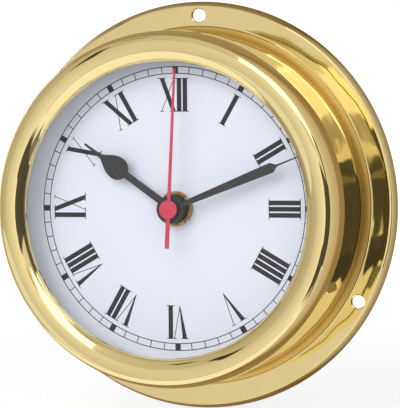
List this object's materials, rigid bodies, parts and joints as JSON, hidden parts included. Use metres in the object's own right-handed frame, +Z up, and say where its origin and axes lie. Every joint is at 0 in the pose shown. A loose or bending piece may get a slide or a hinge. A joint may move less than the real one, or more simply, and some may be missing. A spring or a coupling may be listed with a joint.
{
  "type": "ship's clock",
  "caption": "Round brass bulkhead clock: spun case on a screw flange, push-on bezel with flat glass, white Roman dial, dark spade hands, red sweep hand, battery quartz movement.",
  "frame": {"origin": "middle of the flange's back plane, where the clock meets its bulkhead", "axes": "+Z up, towards twelve on the dial; the face looks along -Y; +Y goes into the bulkhead; +X to the right as the dial is read"},
  "size_m": [0.127, 0.0389, 0.127],
  "materials": {
    "polished_brass": "polished and lacquered",
    "raw_brass": "dull turned",
    "dial_enamel": "satin white enamel",
    "black_lacquer": "satin black lacquer",
    "red_lacquer": "satin red lacquer",
    "clear_glass": "clear",
    "black_rubber": "matte",
    "black_plastic": "fine moulded grain",
    "white_plastic": "moulded satin",
    "bright_steel": "bright",
    "magnet_grey": "sintered",
    "copper_wire": "enamelled copper",
    "board_green": "solder mask",
    "cell_jacket": "plain printed jacket"
  },
  "bodies": {
    "case": {"case_body": "polished_brass", "dial_seat_ring": "raw_brass", "dial_plate": "dial_enamel", "dial_hold_ring": "white_plastic", "movement_housing": "black_plastic", "rear_cover": "black_plastic", "train_bridge": "white_plastic", "threaded_bushing": "raw_brass", "bushing_nut": "raw_brass", "rubber_washer": "black_rubber", "stator": "bright_steel", "coil_core": "bright_steel", "coil_bobbin": "white_plastic", "coil_winding": "copper_wire", "circuit_board": "board_green", "quartz_crystal": "bright_steel", "positive_contact": "bright_steel", "negative_contact": "bright_steel"},
    "bezel": {"bezel_ring": "polished_brass", "glass": "clear_glass", "glass_gasket": "black_rubber", "glass_retainer": "raw_brass"},
    "seconds": {"second_hand": "red_lacquer", "seconds_wheel": "white_plastic"},
    "intermediate": {"intermediate_wheel": "white_plastic"},
    "rotor": {"rotor_pinion": "white_plastic", "rotor_magnet": "magnet_grey"},
    "third": {"third_wheel": "white_plastic"},
    "centre": {"centre_wheel": "white_plastic"},
    "minute": {"minute_hand": "black_lacquer", "cannon_pinion": "white_plastic"},
    "setting": {"reverser_wheel": "white_plastic", "set_knob": "white_plastic"},
    "hour": {"hour_hand": "black_lacquer", "hour_wheel": "white_plastic"},
    "cell": {"battery": "cell_jacket"}
  },
  "joints": [
    {"name": "second_hand_turn", "type": "hinge", "parent": "case", "child": "seconds", "pos_m": [0, -0.02, 0], "axis": [0, 1, 0], "continuous": true},
    {"name": "intermediate_turn", "type": "hinge", "parent": "case", "child": "intermediate", "pos_m": [0.00849, -0.02, 0.0049], "axis": [0, 1, 0], "continuous": true},
    {"name": "rotor_turn", "type": "hinge", "parent": "case", "child": "rotor", "pos_m": [0.01689, -0.02, 0.0049], "axis": [0, 1, 0], "continuous": true},
    {"name": "third_turn", "type": "hinge", "parent": "case", "child": "third", "pos_m": [-0.0084, -0.02, 0.00485], "axis": [0, 1, 0], "continuous": true},
    {"name": "centre_turn", "type": "hinge", "parent": "case", "child": "centre", "pos_m": [0, -0.02, 0], "axis": [0, 1, 0], "continuous": true},
    {"name": "minute_hand_turn", "type": "hinge", "parent": "case", "child": "minute", "pos_m": [0, -0.02, 0], "axis": [0, 1, 0], "continuous": true},
    {"name": "setting_turn", "type": "hinge", "parent": "case", "child": "setting", "pos_m": [0, -0.02, -0.01], "axis": [0, 1, 0], "continuous": true},
    {"name": "hour_turn", "type": "hinge", "parent": "case", "child": "hour", "pos_m": [0, -0.02, 0], "axis": [0, 1, 0], "continuous": true},
    {"name": "bezel_pull", "type": "slide", "parent": "case", "child": "bezel", "axis": [0, -1, 0], "range_m": [0, 0.03]},
    {"name": "battery_lift", "type": "slide", "parent": "case", "child": "cell", "axis": [0, 1, 0], "range_m": [0, 0.018]}
  ],
  "couplings": [
    {"joint": "intermediate_turn", "follows": "second_hand_turn", "ratio": -5},
    {"joint": "rotor_turn", "follows": "second_hand_turn", "ratio": 30},
    {"joint": "third_turn", "follows": "second_hand_turn", "ratio": -0.125},
    {"joint": "centre_turn", "follows": "second_hand_turn", "ratio": 0.016667},
    {"joint": "setting_turn", "follows": "minute_hand_turn", "ratio": -0.33333},
    {"joint": "hour_turn", "follows": "minute_hand_turn", "ratio": 0.083333}
  ]
}
